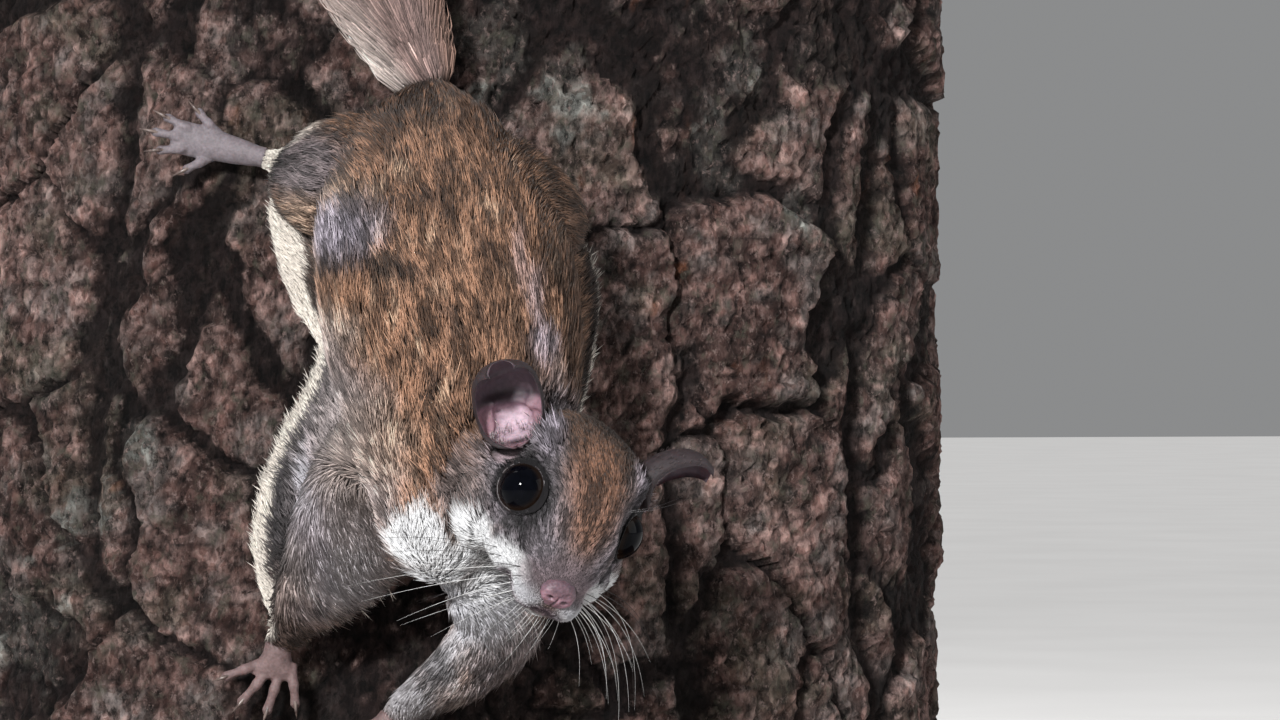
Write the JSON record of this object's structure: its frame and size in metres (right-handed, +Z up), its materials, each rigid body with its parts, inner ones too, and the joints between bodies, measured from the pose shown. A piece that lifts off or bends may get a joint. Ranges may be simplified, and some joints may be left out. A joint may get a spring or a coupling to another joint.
{
  "type": "flying squirrel model on a display stand",
  "caption": "Life-size still model of a flying squirrel that clings head down to a short cut length of tree trunk, held on a flat base by short rods.",
  "frame": {"origin": "middle of the underside of the stand's base, below the middle of the whole model's outline", "axes": "+Z up, -Y out of the bark towards the viewer, with the animal on that side of the trunk, and +X to the viewer's right, which is the animal's left"},
  "size_m": [0.24, 0.156, 0.2734],
  "materials": {
    "fur_back": "short soft fur, tawny brown with dark flecks",
    "fur_face": "very short fur, grey-brown above and white below",
    "fur_tail": "flat tail of overlapping locks, grey-tan",
    "fur_edge": "short fur of the gliding membrane, dark above a cream rim",
    "bare_skin": "thinly haired pinkish-brown skin",
    "eye": "wet, glossy black",
    "bark": "rough fissured bark with sawn ends and back",
    "board": "dark stained, satin lacquer",
    "steel": "brushed"
  },
  "bodies": {
    "root": {"torso": "fur_back", "neck": "fur_back", "head": "fur_face", "foreleg_right": "fur_back", "foreleg_left": "fur_back", "hindleg_right": "fur_back", "hindleg_left": "fur_back", "membrane_right": "fur_edge", "membrane_left": "fur_edge", "tail": "fur_tail", "ear_right": "bare_skin", "ear_left": "bare_skin", "forepaw_right": "bare_skin", "forepaw_left": "bare_skin", "hindfoot_right": "bare_skin", "hindfoot_left": "bare_skin", "eye_right": "eye", "eye_left": "eye", "trunk": "bark", "stand_base": "board", "stand_rod_1": "steel", "stand_rod_2": "steel"}
  },
  "joints": []
}
